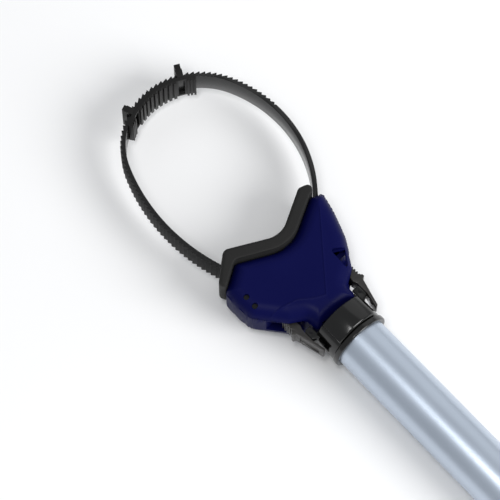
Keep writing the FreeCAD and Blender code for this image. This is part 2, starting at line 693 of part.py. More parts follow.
def make_lever(name, side):
    """Rocker on the lug's pin: its foot is squeezed in and its ribbed claw swings out."""
    body = new_body(f"lever_{name}")
    outline = outline_sketch(body, "outline", rounded(on_side(LEVER, side)),
                             "-sizes.lever_rear")
    pad(body, "plate", outline, "sizes.lever_front + sizes.lever_rear")
    outline = outline_sketch(body, "neck_outline", rounded(on_side(NECK, side)),
                             "-sizes.eye_half")
    pad(body, "neck", outline, "sizes.eye_half * 2")
    pivot = (size("pivot_ahead"), side * size("pivot_side"))
    eye = circle_sketch(body, "eye_outline", pivot, "sizes.lever_eye", "-sizes.eye_half")
    pad(body, "eye", eye, "sizes.eye_half * 2")
    hole = circle_sketch(body, "hole_outline", pivot, "sizes.pivot_radius + sizes.running_play",
                         "sizes.eye_half")
    pocket(body, "hole", hole, "sizes.eye_half * 2")
    cut = outline_sketch(body, "channel_outline", rounded(on_side(CHANNEL, side)),
                         "sizes.channel_front")
    pocket(body, "channel", cut, "sizes.channel_front + sizes.channel_rear")
    for i, ahead in enumerate(CLAW_RIBS):
        groove = [(ahead, 19.8, 0), (ahead + 0.8, 19.8, 0), (ahead + 0.8, 25, 0), (ahead, 25, 0)]
        cut = outline_sketch(body, f"groove_{i}_outline", rounded(on_side(groove, side)),
                             "sizes.lever_front")
        pocket(body, f"groove_{i}", cut, "sizes.lever_front + sizes.lever_rear")
    return body


def make_lever_pin(name, side):
    return upright(f"lever_pin_{name}", "sizes.pivot_radius", "-sizes.lug_half", "sizes.lug_half",
                   "sizes.pivot_ahead", f"{side} * sizes.pivot_side")


def make_lever_spring(name, side):
    """Thin leaf rooted on the lever's foot, its free end short of the collar."""
    body = new_body(f"lever_spring_{name}")
    outline = outline_sketch(body, "outline", rounded(on_side(LEVER_LEAF, side)),
                             "-sizes.lever_leaf_half")
    pad(body, "leaf", outline, "sizes.lever_leaf_half * 2")
    return body


# ---------------------------------------------------------------- slider

def sector(inner, outer, start, end, low, high):
    """A curved block about the loop's centre; angles in degrees from +X."""
    ring = Part.makeCylinder(outer, high - low, Vec(0, 0, low), Vec(0, 0, 1), end - start)
    ring = ring.cut(Part.makeCylinder(inner, high - low + 2, Vec(0, 0, low - 1)))
    ring.rotate(Vec(0, 0, 0), Vec(0, 0, 1), start)
    return ring


RAIL_OUT = size("loop_radius") + 0.2     # the rails hold the strap's inner edge


def make_slider_pad():
    """Ribbed plate inside the strap with a rail at each edge and a slot at each clip."""
    gap, half = size("slider_gap"), size("slider_half_angle")
    middle = -size("slider_turn")
    inner_face = size("loop_radius") - gap
    plate_in = inner_face - size("slider_plate")
    rail_low = size("strap_half") + gap
    rail_high = rail_low + size("slider_rail")
    start, end = middle - half, middle + half
    shape = sector(plate_in, inner_face, start, end, -rail_high, rail_high)
    for low, high in ((rail_low, rail_high), (-rail_high, -rail_low)):
        shape = shape.fuse(sector(plate_in, RAIL_OUT, start, end, low, high))
    clip, slot = size("clip_angle"), size("clip_slot")
    rib_turns = [(-clip + slot + 3.3) + i * 4.62 for i in range(10)]
    rib_turns = [turn for turn in rib_turns if turn < clip - slot - 2.0]
    foot_turns = [side * (clip + slot + 2.6 + i * 2.9) for side in (-1, 1) for i in range(3)]
    for turn, width in [(t, 2.6) for t in rib_turns] + [(t, 1.7) for t in foot_turns]:
        rib = sector(plate_in - 0.9, plate_in + 0.2, middle + turn - width / 2,
                     middle + turn + width / 2, -rail_high, rail_high)
        shape = shape.fuse(rib)
    for side in (-1, 1):
        turn = middle + side * clip
        cut = sector(plate_in - 3, inner_face + 0.1, turn - slot, turn + slot,
                     -rail_low - 0.2, rail_low + 0.2)
        shape = shape.cut(cut)
    shape = shape.removeSplitter()
    shape.translate(LOOP_CENTRE)
    return plain_feature("slider_pad", shape)


def make_slider_clips():
    """Two hooks over the teeth, each joined to both rails, with a finger lug on top."""
    gap, middle = size("slider_gap"), -size("slider_turn")
    rail_low = size("strap_half") + gap
    rail_high = rail_low + size("slider_rail")
    over = size("loop_radius") + size("strap_base") + size("tooth_height") + 0.3
    width = math.degrees(size("clip_width") / over)
    shapes = []
    thick = size("clip_thick")
    for side, reach in ((-1, size("clip_right_reach")), (1, size("clip_left_reach"))):
        turn = middle + side * size("clip_angle")
        start, end = turn - width / 2, turn + width / 2
        hook = sector(over, over + thick, start, end, -rail_high, rail_high)
        for low, high in ((rail_low, rail_high), (-rail_high, -rail_low)):
            hook = hook.fuse(sector(RAIL_OUT, over + 0.2, start, end, low, high))
        lug = sector(over + thick - 0.2, reach, start + 0.5, end - 0.5, -rail_high, rail_high)
        hook = hook.fuse(lug).removeSplitter()
        hook.translate(LOOP_CENTRE)
        shapes.append(hook)
    return plain_feature("slider_clips", Part.Compound(shapes))


# ---------------------------------------------------------------- building and saving

BUILDERS = [
    make_pole_tube, make_end_cap, make_grip_sleeve, make_pole_adapter, make_adapter_panel,
    make_adapter_rivet, make_front_shell, make_rear_shell, make_v_pad, make_shell_screws,
    make_strap, make_anchor_pins, make_pawl, make_pawl_spring, make_release_tab,
    lambda: make_pin("pawl"), lambda: make_pin("stop"),
    lambda: make_lever("left", 1), lambda: make_lever("right", -1),
    lambda: make_lever_pin("left", 1), lambda: make_lever_pin("right", -1),
    lambda: make_lever_spring("left", 1), lambda: make_lever_spring("right", -1),
    make_slider_pad, make_slider_clips]
pieces = [build() for build in BUILDERS]
doc.recompute()

for item in doc.Objects:
    if "Invalid" in item.State or "Error" in item.State:
        raise RuntimeError(f"{item.Name} failed: {item.State}")
for piece in pieces:
    if piece.Shape.isNull() or not piece.Shape.isValid():
        raise RuntimeError(f"{piece.Label} has no valid shape")
for piece in pieces:
    piece.Shape.exportStep(f"parts/{piece.Label}.step")
    print(f"{piece.Label}: {len(piece.Shape.Solids)} solid(s), {piece.Shape.Volume:.1f} mm3")
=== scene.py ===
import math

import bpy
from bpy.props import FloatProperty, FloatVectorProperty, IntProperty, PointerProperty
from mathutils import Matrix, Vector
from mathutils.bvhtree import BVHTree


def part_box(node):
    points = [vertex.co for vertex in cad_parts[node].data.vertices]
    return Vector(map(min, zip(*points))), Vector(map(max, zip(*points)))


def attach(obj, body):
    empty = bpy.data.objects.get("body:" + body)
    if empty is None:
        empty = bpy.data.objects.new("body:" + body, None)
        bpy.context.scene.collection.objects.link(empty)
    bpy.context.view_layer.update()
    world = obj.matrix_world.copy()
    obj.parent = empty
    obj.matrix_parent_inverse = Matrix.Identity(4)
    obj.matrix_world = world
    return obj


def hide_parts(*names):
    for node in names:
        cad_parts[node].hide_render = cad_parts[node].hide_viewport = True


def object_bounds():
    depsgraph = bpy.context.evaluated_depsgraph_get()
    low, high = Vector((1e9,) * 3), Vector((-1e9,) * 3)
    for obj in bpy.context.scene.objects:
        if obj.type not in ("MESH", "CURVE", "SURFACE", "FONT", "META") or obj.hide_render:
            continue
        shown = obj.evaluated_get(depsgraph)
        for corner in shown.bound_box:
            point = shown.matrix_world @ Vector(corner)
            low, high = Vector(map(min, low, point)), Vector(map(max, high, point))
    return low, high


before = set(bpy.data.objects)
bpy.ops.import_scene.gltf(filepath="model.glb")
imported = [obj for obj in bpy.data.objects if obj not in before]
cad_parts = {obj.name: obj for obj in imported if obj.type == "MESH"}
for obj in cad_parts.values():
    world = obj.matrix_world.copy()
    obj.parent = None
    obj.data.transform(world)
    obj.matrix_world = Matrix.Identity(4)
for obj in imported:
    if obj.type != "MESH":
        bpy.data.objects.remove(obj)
cad_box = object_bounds()

# Looks of the sock aid: blue ratchet head, soft pad, toothed loop, slider and pole.
# Laid out as an add-on and run as a script. Metres, in the frame of the packed part:
# +X along the pole towards the loop, +Z out of the head's front. Points on the head are in
# millimetres from the collar's rim, ahead along the pole and to its left, as in the part.

bl_info = {
    "name": "Sock aid",
    "version": (1, 0, 0),
    "blender": (4, 5, 0),
    "location": "View3D > Sidebar > Sock aid",
    "description": "Finishes the sock aid's head, loop, slider and pole",
    "category": "Object",
}

MM = 0.001
SHELL_START = 13.5      # the shells begin this far ahead of the collar's rim
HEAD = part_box("front_shell")[0].x - SHELL_START * MM
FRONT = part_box("front_shell")[1].z
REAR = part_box("rear_shell")[0].z
FLOOR = cad_box[0][2]
SMOOTH = math.radians(40.0)         # edges flatter than this are shaded smooth
COVER_SMOOTH = math.radians(38.0)   # the same on the covers


def head_point(ahead, side, up=0.0):
    """A point in the frame from millimetres off the head's datum."""
    return Vector((HEAD + ahead * MM, side * MM, up * MM))


# ------------------------------------------------------------ settings

class HeadLooks(bpy.types.PropertyGroup):
    """The blue shells and the soft pad."""
    blue: FloatVectorProperty(name="Blue", description="Colour of the head's shells",
                              subtype="COLOR", size=3, min=0, max=1,
                              default=(0.0021, 0.0029, 0.046))
    slope: FloatProperty(name="Flank slope", description="Fall of the front beside the creases",
                         subtype="ANGLE", unit="ROTATION", default=math.radians(7.0))
    ridge: FloatProperty(name="Ridge", description="Height of the rib along a crease",
                         unit="LENGTH", default=0.22 * MM)
    roll: FloatProperty(name="Front roll", description="Radius of the front's rolled edge",
                        unit="LENGTH", default=6.8 * MM)
    rear_roll: FloatProperty(name="Rear roll", description="Radius of the rear's rolled edge",
                             unit="LENGTH", default=6.6 * MM)
    pad: FloatVectorProperty(name="Pad", description="Colour of the soft pad", subtype="COLOR",
                             size=3, min=0, max=1, default=(0.012, 0.0118, 0.0115))
    pad_skin: FloatProperty(name="Pad skin", description="Fineness of the pad's mesh",
                            unit="LENGTH", default=0.4 * MM)
    pad_passes: IntProperty(name="Pad softness", description="Passes that soften its edges",
                            default=14, min=0)


class LoopLooks(bpy.types.PropertyGroup):
    """The strap, its slider and the side levers."""
    strap: FloatVectorProperty(name="Strap", description="Colour of the strap",
                               subtype="COLOR", size=3, min=0, max=1,
                               default=(0.006, 0.006, 0.006))
    slider: FloatVectorProperty(name="Slider", description="Colour of the slider",
                                subtype="COLOR", size=3, min=0, max=1,
                                default=(0.009, 0.0087, 0.0084))
    lever: FloatVectorProperty(name="Levers", description="Colour of the side levers",
                               subtype="COLOR", size=3, min=0, max=1,
                               default=(0.016, 0.0145, 0.0135))
    strap_edge: FloatProperty(name="Strap edges", description="Rounding of the strap's edges",
                              unit="LENGTH", default=0.12 * MM)
    edge: FloatProperty(name="Edge rounding", description="Rounding of the other edges",
                        unit="LENGTH", default=0.18 * MM)


class PoleLooks(bpy.types.PropertyGroup):
    """The tube, its collar and the handle."""
    tube: FloatVectorProperty(name="Tube", description="Colour of the anodised tube",
                              subtype="COLOR", size=3, min=0, max=1,
                              default=(0.50, 0.565, 0.655))
    collar: FloatVectorProperty(name="Collar", description="Colour of the collar",
                                subtype="COLOR", size=3, min=0, max=1,
                                default=(0.002, 0.002, 0.0018))
    grip: FloatVectorProperty(name="Grip", description="Colour of the handle",
                              subtype="COLOR", size=3, min=0, max=1,
                              default=(0.02, 0.02, 0.02))
    edge: FloatProperty(name="Edge rounding", description="Rounding of the collar's edges",
                        unit="LENGTH", default=0.3 * MM)


class StageLooks(bpy.types.PropertyGroup):
    """Floor, lights and camera."""
    floor: FloatVectorProperty(name="Floor", description="Colour of the floor",
                               subtype="COLOR", size=3, min=0, max=1,
                               default=(0.93, 0.93, 0.93))
    sky: FloatVectorProperty(name="Sky", description="Colour of the light from all round",
                             subtype="COLOR", size=3, min=0, max=1, default=(0.95, 0.97, 1.0))
    sky_level: FloatProperty(name="Sky level", description="Strength of the light from all round",
                             min=0, default=0.46)
    azimuth: FloatProperty(name="Azimuth", description="Camera's turn round the object",
                           subtype="ANGLE", unit="ROTATION", default=math.radians(228.0))
    elevation: FloatProperty(name="Elevation", description="Camera's height above the horizon",
                             subtype="ANGLE", unit="ROTATION", default=math.radians(67.0))
    distance: FloatProperty(name="Distance", description="Camera to the head",
                            unit="LENGTH", default=1.1)
    width: FloatProperty(name="View width", description="Width of the view at the head",
                         unit="LENGTH", default=0.2232)


def looks():
    """The scene, which holds the four groups of settings."""
    return bpy.context.scene


# ------------------------------------------------------------ shared shader groups

def socket(group, name, way, kind, value=None):
    """Adds an input or output to a node group, with its default if one is given."""
    made = group.interface.new_socket(name=name, in_out=way, socket_type=kind)
    if value is not None:
        made.default_value = value


def link(tree, *pairs):
    """Links each pair of an output and an input."""
    for out, to in pairs:
        tree.links.new(out, to)


def grain_group():
    """Moulded grain: a fine height and a slow patchy mask, on Object coordinates."""
    name = "moulded_grain"
    if name in bpy.data.node_groups:
        return bpy.data.node_groups[name]
    group = bpy.data.node_groups.new(name, "ShaderNodeTree")
    for word, value in (("Grain", 2500.0), ("Patches", 60.0), ("Stretch", 1.0)):
        socket(group, word, "INPUT", "NodeSocketFloat", value)
    socket(group, "Height", "OUTPUT", "NodeSocketFloat")
    socket(group, "Patch", "OUTPUT", "NodeSocketFloat")
    nodes = group.nodes
    start, end = nodes.new("NodeGroupInput"), nodes.new("NodeGroupOutput")
    place = nodes.new("ShaderNodeTexCoord")
    along = nodes.new("ShaderNodeCombineXYZ")
    along.inputs["Y"].default_value = along.inputs["Z"].default_value = 1.0
    scaled = nodes.new("ShaderNodeVectorMath")
    scaled.operation = "MULTIPLY"
    fine, slow = nodes.new("ShaderNodeTexNoise"), nodes.new("ShaderNodeTexNoise")
    fine.inputs["Detail"].default_value, slow.inputs["Detail"].default_value = 2.0, 4.0
    link(group, (start.outputs["Stretch"], along.inputs["X"]),
         (place.outputs["Object"], scaled.inputs[0]), (along.outputs[0], scaled.inputs[1]),
         (scaled.outputs[0], fine.inputs["Vector"]),
         (place.outputs["Object"], slow.inputs["Vector"]),
         (start.outputs["Grain"], fine.inputs["Scale"]),
         (start.outputs["Patches"], slow.inputs["Scale"]),
         (fine.outputs["Fac"], end.inputs["Height"]), (slow.outputs["Fac"], end.inputs["Patch"]))
    return group


def marks_group():
    """Fine handling scratches and dust specks as one mask."""
    name = "handling_marks"
    if name in bpy.data.node_groups:
        return bpy.data.node_groups[name]
    group = bpy.data.node_groups.new(name, "ShaderNodeTree")
    socket(group, "Scale", "INPUT", "NodeSocketFloat", 90.0)
    socket(group, "Amount", "INPUT", "NodeSocketFloat", 0.3)
    socket(group, "Mask", "OUTPUT", "NodeSocketFloat")
    nodes = group.nodes
    start, end = nodes.new("NodeGroupInput"), nodes.new("NodeGroupOutput")
    place = nodes.new("ShaderNodeTexCoord")
    turned = nodes.new("ShaderNodeMapping")
    turned.inputs["Rotation"].default_value = (0.3, 0.2, 0.7)
    turned.inputs["Scale"].default_value = (0.08, 1.0, 1.0)
    lines, spots = nodes.new("ShaderNodeTexNoise"), nodes.new("ShaderNodeTexNoise")
    spots.inputs["Scale"].default_value = 700.0
    keep_lines, keep_spots = nodes.new("ShaderNodeMapRange"), nodes.new("ShaderNodeMapRange")
    for part, low, high in ((keep_lines, 0.62, 0.78), (keep_spots, 0.70, 0.80)):
        part.inputs["From Min"].default_value = low
        part.inputs["From Max"].default_value = high
    both, level = nodes.new("ShaderNodeMath"), nodes.new("ShaderNodeMath")
    both.operation, level.operation = "MAXIMUM", "MULTIPLY"
    link(group, (place.outputs["Object"], turned.inputs["Vector"]),
         (turned.outputs["Vector"], lines.inputs["Vector"]),
         (start.outputs["Scale"], lines.inputs["Scale"]),
         (place.outputs["Object"], spots.inputs["Vector"]),
         (lines.outputs["Fac"], keep_lines.inputs["Value"]),
         (spots.outputs["Fac"], keep_spots.inputs["Value"]),
         (keep_lines.outputs[0], both.inputs[0]), (keep_spots.outputs[0], both.inputs[1]),
         (both.outputs[0], level.inputs[0]), (start.outputs["Amount"], level.inputs[1]),
         (level.outputs[0], end.inputs["Mask"]))
    return group


TONE_SWING = (0.9, 1.12)        # darkest and lightest patch, as parts of the colour
GLOSS_SWING = (0.88, 1.12)      # glossiest and dullest patch, as parts of the roughness
DUST = 0.004                    # grey added where a finish is marked
DULLING = 0.18                  # roughness added where it is marked
GRAIN_DEPTH = 0.2 * MM


def finish_material(name, colour, rough, *, metal=0.0, grain=2500.0, bump=0.02, patches=60.0,
                    stretch=1.0, marks=0.3, lift=1.35, sheen=0.0, specular=0.5):
    """A moulded or metal finish: patchy tone, grain bump, and marks in tone and gloss."""
    if name in bpy.data.materials:
        return bpy.data.materials[name]
    material = bpy.data.materials.new(name)
    material.use_nodes = True
    tree = material.node_tree
    nodes = tree.nodes
    shader = nodes["Principled BSDF"]
    shader.inputs["Metallic"].default_value = metal
    shader.inputs["Sheen Weight"].default_value = sheen
    shader.inputs["Specular IOR Level"].default_value = specular
    surface, wear = nodes.new("ShaderNodeGroup"), nodes.new("ShaderNodeGroup")
    surface.node_tree, wear.node_tree = grain_group(), marks_group()
    surface.inputs["Grain"].default_value = grain
    surface.inputs["Patches"].default_value = patches
    surface.inputs["Stretch"].default_value = stretch
    wear.inputs["Amount"].default_value = marks
    tone = nodes.new("ShaderNodeMix")
    tone.data_type = "RGBA"
    for place, swing in zip((6, 7), TONE_SWING):
        tone.inputs[place].default_value = (*[min(1, c * swing) for c in colour], 1)
    scuffed = nodes.new("ShaderNodeMix")
    scuffed.data_type = "RGBA"
    scuffed.inputs[7].default_value = (*[min(1, c * lift + DUST) for c in colour], 1)
    gloss = nodes.new("ShaderNodeMapRange")
    gloss.inputs["From Min"].default_value, gloss.inputs["From Max"].default_value = 0.3, 0.7
    for place, swing in zip(("To Min", "To Max"), GLOSS_SWING):
        gloss.inputs[place].default_value = rough * swing
    dulled = nodes.new("ShaderNodeMath")
    dulled.operation = "MULTIPLY_ADD"
    dulled.inputs[1].default_value = DULLING
    relief = nodes.new("ShaderNodeBump")
    relief.inputs["Strength"].default_value = bump
    relief.inputs["Distance"].default_value = GRAIN_DEPTH
    link(tree, (surface.outputs["Patch"], tone.inputs[0]), (tone.outputs[2], scuffed.inputs[6]),
         (wear.outputs["Mask"], scuffed.inputs[0]),
         (scuffed.outputs[2], shader.inputs["Base Color"]),
         (surface.outputs["Patch"], gloss.inputs["Value"]),
         (wear.outputs["Mask"], dulled.inputs[0]), (gloss.outputs[0], dulled.inputs[2]),
         (dulled.outputs[0], shader.inputs["Roughness"]),
         (surface.outputs["Height"], relief.inputs["Height"]),
         (relief.outputs["Normal"], shader.inputs["Normal"]))
    return material


def blue_plastic():
    return finish_material("shell_blue", looks().head_looks.blue, 0.42, grain=3500.0,
                           bump=0.08, patches=35.0, marks=0.05, lift=1.4, specular=0.06)


def pad_rubber():
    return finish_material("soft_pad_rubber", looks().head_looks.pad, 0.62, grain=2600.0,
                           bump=0.35, patches=80.0, marks=0.15, sheen=0.04, specular=0.2)


def strap_plastic():
    return finish_material("satin_strap", looks().loop_looks.strap, 0.22, grain=1800.0,
                           bump=0.05, stretch=0.3, marks=0.3, specular=0.42)


def tooth_plastic():
    return finish_material("matt_strap_teeth", looks().loop_looks.strap, 0.5, grain=1800.0,
                           bump=0.1, stretch=0.3, marks=0.3, specular=0.15)


def slider_plastic():
    return finish_material("slider_moulding", looks().loop_looks.slider, 0.42, grain=2200.0,
                           bump=0.12, marks=0.3, specular=0.22)


def lever_plastic():
    return finish_material("lever_moulding", looks().loop_looks.lever, 0.34, grain=2400.0,
                           bump=0.08, marks=0.3)


def collar_plastic():
    return finish_material("polished_collar", looks().pole_looks.collar, 0.16, grain=1500.0,
                           bump=0.03, stretch=0.2, marks=0.3, specular=0.5)


def anodised_tube():
    return finish_material("anodised_tube", looks().pole_looks.tube, 0.35, metal=0.8,
                           grain=5000.0, bump=0.06, patches=12.0, stretch=0.01, marks=0.12,
                           lift=1.15)


def grip_rubber():
    return finish_material("handle_rubber", looks().pole_looks.grip, 0.66, grain=2200.0, bump=0.4,
                           marks=0.25, sheen=0.1)


def bright_steel():
    return finish_material("bright_steel", (0.55, 0.55, 0.57), 0.28, metal=1.0, grain=3000.0,
                           bump=0.05, stretch=0.05, marks=0.3, lift=1.2)


# Pin steel painted near black as painted shade: it stands for the shade in the holes that the
# pins sit in.
def painted_hole_shade_steel():
    return finish_material("painted_hole_shade_steel", (0.02, 0.02, 0.022), 0.35, metal=0.9, grain=3000.0,
                           bump=0.05, marks=0.3, lift=1.6)


def pale_floor():
    return finish_material("pale_floor", looks().stage_looks.floor, 0.8, grain=300.0, bump=0.01,
                           patches=2.0, marks=0.0)


# ------------------------------------------------------------ modelling helpers

WELD = 0.002 * MM                   # vertices closer than this are one
NO_TURN = math.radians(0.2)         # faces that turn less than this are one


def only(obj):
    """Deselects all and makes this object the one that operators act on."""
    bpy.ops.object.select_all(action="DESELECT")
    obj.select_set(True)
    bpy.context.view_layer.objects.active = obj


def in_edit(obj):
    """Opens this object alone in edit mode, with all of its mesh selected."""
    only(obj)
    bpy.ops.object.mode_set(mode="EDIT")
    bpy.ops.mesh.select_all(action="SELECT")


def out_of_edit():
    """Back to object mode."""
    bpy.ops.object.mode_set(mode="OBJECT")


def merged_copy(node, name):
    """A CAD node's mesh as a clean closed mesh of its own."""
    obj = bpy.data.objects.new(name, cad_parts[node].data.copy())
    obj.data.name = name
    bpy.context.scene.collection.objects.link(obj)
    obj.data.materials.clear()
    in_edit(obj)
    bpy.ops.mesh.remove_doubles(threshold=WELD)
    bpy.ops.mesh.customdata_custom_splitnormals_clear()
    bpy.ops.mesh.dissolve_limited(angle_limit=NO_TURN)
    out_of_edit()
    return obj


def slice_along(obj, point, normal):
    """Cuts the mesh by a plane, keeping both sides."""
    in_edit(obj)
    bpy.ops.mesh.bisect(plane_co=point, plane_no=normal, use_fill=False)
    out_of_edit()


def round_edges(obj, width, angle=35.0, segments=2):
    """Small roundings on the sharp edges, applied, and smooth shading."""
    only(obj)
    bevel = obj.modifiers.new("edges", "BEVEL")
    bevel.width = width
    bevel.segments = segments
    bevel.limit_method = "ANGLE"
    bevel.angle_limit = math.radians(angle)
    bevel.use_clamp_overlap = True
    bevel.miter_outer = "MITER_ARC"
    bpy.ops.object.modifier_apply(modifier=bevel.name)
    bpy.ops.object.shade_smooth_by_angle(angle=SMOOTH)


def settle(obj, body, slot, material, *nodes):
    """Gives a piece its material and body, and hides the nodes that it stands for. The slot is
    not used.
    """
    obj.data.materials.clear()
    obj.data.materials.append(material)
    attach(obj, body)
    if nodes:
        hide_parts(*nodes)


def dress_node(node, material):
    """A CAD node keeps its mesh and gets a finish."""
    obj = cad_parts[node]
    if not obj.material_slots:
        obj.data.materials.append(material)
    for place in obj.material_slots:
        place.material = material


# ------------------------------------------------------------ head

APEX = (22.0, -0.6)
RIGHT_CREASE = (54.6, -26.8)        # the right crease is straight from the apex to here
LEFT_CREASE = ((24.3, 4.0), (28.8, 10.6), (30.6, 18.2), (31.6, 26.0))
CREASES = [(APEX, RIGHT_CREASE), *zip((APEX, *LEFT_CREASE), LEFT_CREASE)]
CREASE_WIDTH = 0.5                  # from a crease to the foot of its rib, in millimetres
RIM = 2.4 * MM                      # the CAD shells are rounded this far in from their faces
RIM_GAP = 0.03 * MM                 # an edge this close to the rim's height is on the rim
GRID_STEP = 0.5 * MM
GRID_MARGIN = 2.0 * MM              # a blank is wider and longer than its shell by this
GRID_DEEP = 40.0 * MM               # it is pushed back so far, then levelled at GRID_BACK
GRID_BACK = 15.0 * MM               # from the head's middle to the blank's far side
SCREW_REACH = 6.5 * MM              # points of a screw are closer together than this
FLAT_RADIUS, FLAT_RUN = 3.6 * MM, 2.4 * MM      # level ground round a screw, and its slope
WINDOW = ((36.0, -17.2), (33.2, -22.4), (26.2, -17.0))
WINDOW_MIDDLE, WINDOW_DEPTH = 7.0 * MM, 4.0 * MM
PAD_SLANT, SLANT_NORMAL = (57.0, 20.0, -10.4), (0, 0.495, -0.869)


def across_line(start, end):
    """Unit vector square to a line, towards the pole."""
    across = Vector((start[1] - end[1], end[0] - start[0], 0)).normalized()
    return across if across.x < 0 else -across


def past_line(x, y, start, end):
    """How far a point lies past a line, towards the pole."""
    return (Vector((x, y, 0)) - Vector((*start, 0))).dot(across_line(start, end))


def flank_fall(x, y):
    """How far a point lies down the right or the left flank, 0 on the raised middle."""
    right = past_line(x, y, APEX, RIGHT_CREASE)
    left = min(past_line(x, y, start, end) for start, end in CREASES[1:])
    return max(right, left, 0.0)


def off_crease(x, y):
    """Distance to the nearest crease line."""
    gaps = []
    for start, end in CREASES:
        off, along = Vector((x, y)) - Vector(start), Vector(end) - Vector(start)
        part = min(1.0, max(0.0, off.dot(along) / along.length_squared))
        gaps.append((off - along * part).length)
    return min(gaps)


def wall_tree(obj, rim):
    """Upright strips along the outline of a shell, found by its edges at the rim's height."""
    points, strips = [], []
    mesh = obj.data
    for edge in mesh.edges:
        a, b = (mesh.vertices[i].co for i in edge.vertices)
        if abs(a.z - rim) < RIM_GAP and abs(b.z - rim) < RIM_GAP:
            first = len(points)
            points += [(p.x, p.y, level) for p in (a, b) for level in (-1.0, 1.0)]
            strips.append((first, first + 1, first + 3, first + 2))
    return BVHTree.FromPolygons(points, strips)


def screw_places():
    """Centres of the four screws in the rear shell."""
    heads = []
    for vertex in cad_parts["shell_screws"].data.vertices:
        flat = vertex.co.xy
        for head in heads:
            if (flat - head[0]).length < SCREW_REACH:
                head.append(flat)
                break
        else:
            heads.append([flat])
    return [Vector([(min(axis) + max(axis)) / 2 for axis in zip(*head)]) for head in heads]


def rounded_blank(name, shell, face, rim, round_over, drop=None, flats=()):
    """A block over the whole shell whose face rolls over towards the shell's outline.

    The face stays level round each of the flats, so that a screw's head lies in it.
    """
    low, high = (Vector(corner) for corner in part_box(shell))
    guide = merged_copy(shell, "outline_guide")
    walls = wall_tree(guide, rim)
    bpy.data.objects.remove(guide)
    size = high - low + Vector((GRID_MARGIN, GRID_MARGIN, 0))
    centre = (low + high) / 2
    bpy.ops.object.select_all(action="DESELECT")
    bpy.ops.mesh.primitive_grid_add(x_subdivisions=round(size.x / GRID_STEP),
                                    y_subdivisions=round(size.y / GRID_STEP), size=1.0,
                                    location=(centre.x, centre.y, 0))
    blank = bpy.context.object
    blank.name = blank.data.name = name
    blank.scale = (size.x, size.y, 1)
    bpy.ops.object.transform_apply(location=True, rotation=False, scale=True)
    if drop:
        slice_lines(blank)
    way = 1 if face > 0 else -1
    for vertex in blank.data.vertices:
        x, y = vertex.co.x, vertex.co.y
        near = walls.find_nearest((x, y, 0))[3]
        fall = drop(x, y) if drop else 0.0
        over = max(0.0, round_over - near)
        roll = round_over - math.sqrt(max(0.0, round_over ** 2 - over ** 2))
        for place in flats:
            off = (Vector((x, y)) - place).length - FLAT_RADIUS
            roll *= min(1.0, max(0.0, off / FLAT_RUN))
        vertex.co.z = face - way * (fall + roll)
    in_edit(blank)
    bpy.ops.mesh.extrude_region_move(TRANSFORM_OT_translate={"value": (0, 0, -way * GRID_DEEP)})
    bpy.ops.transform.resize(value=(1, 1, 0), center_override=(0, 0, -way * GRID_BACK))
    bpy.ops.mesh.select_all(action="SELECT")
    bpy.ops.mesh.normals_make_consistent(inside=False)
    out_of_edit()
    return blank


def slice_lines(obj):
    """Edges along each crease and a little way either side of it."""
    for start, end in CREASES:
        across = across_line(start, end)
        for shift in (-CREASE_WIDTH, 0.0, CREASE_WIDTH):
            slice_along(obj, head_point(*start) + across * shift * MM, across)


def trim_to(obj, blank, operation="INTERSECT"):
    """Cuts a piece by a blank, by default keeping what both share, and removes the blank."""
    only(obj)
    cut = obj.modifiers.new("trim", "BOOLEAN")
    cut.operation, cut.solver, cut.object = operation, "EXACT", blank
    bpy.ops.object.modifier_apply(modifier=cut.name)
    bpy.data.objects.remove(blank)
    if not obj.data.polygons:
        raise RuntimeError(f"{obj.name} came out empty")


def window_cutter():
    """An upright prism over the floor of the right flank's recess."""
    bpy.ops.object.select_all(action="DESELECT")
    bpy.ops.mesh.primitive_cylinder_add(vertices=len(WINDOW), radius=1,
                                        depth=WINDOW_DEPTH, location=(0, 0, WINDOW_MIDDLE))
    bpy.ops.object.transform_apply(location=True, rotation=False, scale=False)
    cutter = bpy.context.object
    for vertex in cutter.data.vertices:
        turn = math.atan2(vertex.co.x, vertex.co.y) / math.tau * len(WINDOW)
        vertex.co.xy = head_point(*WINDOW[round(turn) % len(WINDOW)]).xy
    in_edit(cutter)
    bpy.ops.mesh.normals_make_consistent(inside=False)
    out_of_edit()
    return cutter


class SOCK_OT_front_cover(bpy.types.Operator):
    """Front shell: raised middle, two sloping flanks, ribs on the creases, rolled edge"""
    bl_idname = "sock.front_cover"
    bl_label = "Front cover"

    def execute(self, context):
        settings = context.scene.head_looks
        slope = math.tan(settings.slope)

        def drop(x, y):
            ahead, side = (x - HEAD) / MM, y / MM
            rib = max(0.0, 1.0 - off_crease(ahead, side) / CREASE_WIDTH)
            return flank_fall(ahead, side) * slope * MM - rib * settings.ridge

        obj = merged_copy("front_shell", "front_cover")
        face = FRONT - settings.ridge
        blank = rounded_blank("front_blank", "front_shell", face, FRONT - RIM, settings.roll,
                              drop)
        trim_to(obj, blank)
        trim_to(obj, window_cutter(), "DIFFERENCE")
        finish_cover(obj, "front_shell")
        return {"FINISHED"}


class SOCK_OT_rear_cover(bpy.types.Operator):
    """Rear shell: rolled edge, level round the screws"""
    bl_idname = "sock.rear_cover"
    bl_label = "Rear cover"

    def execute(self, context):
        obj = merged_copy("rear_shell", "rear_cover")
        blank = rounded_blank("rear_blank", "rear_shell", REAR, REAR + RIM,
                              context.scene.head_looks.rear_roll, flats=screw_places())
        trim_to(obj, blank)
        finish_cover(obj, "rear_shell")
        return {"FINISHED"}


def finish_cover(obj, node):
    """Smooth shading across the rolled edge, and the blue finish."""
    only(obj)
    bpy.ops.object.shade_smooth_by_angle(angle=COVER_SMOOTH)
    settle(obj, "pole_and_head", "blue_plastic", blue_plastic(), node)


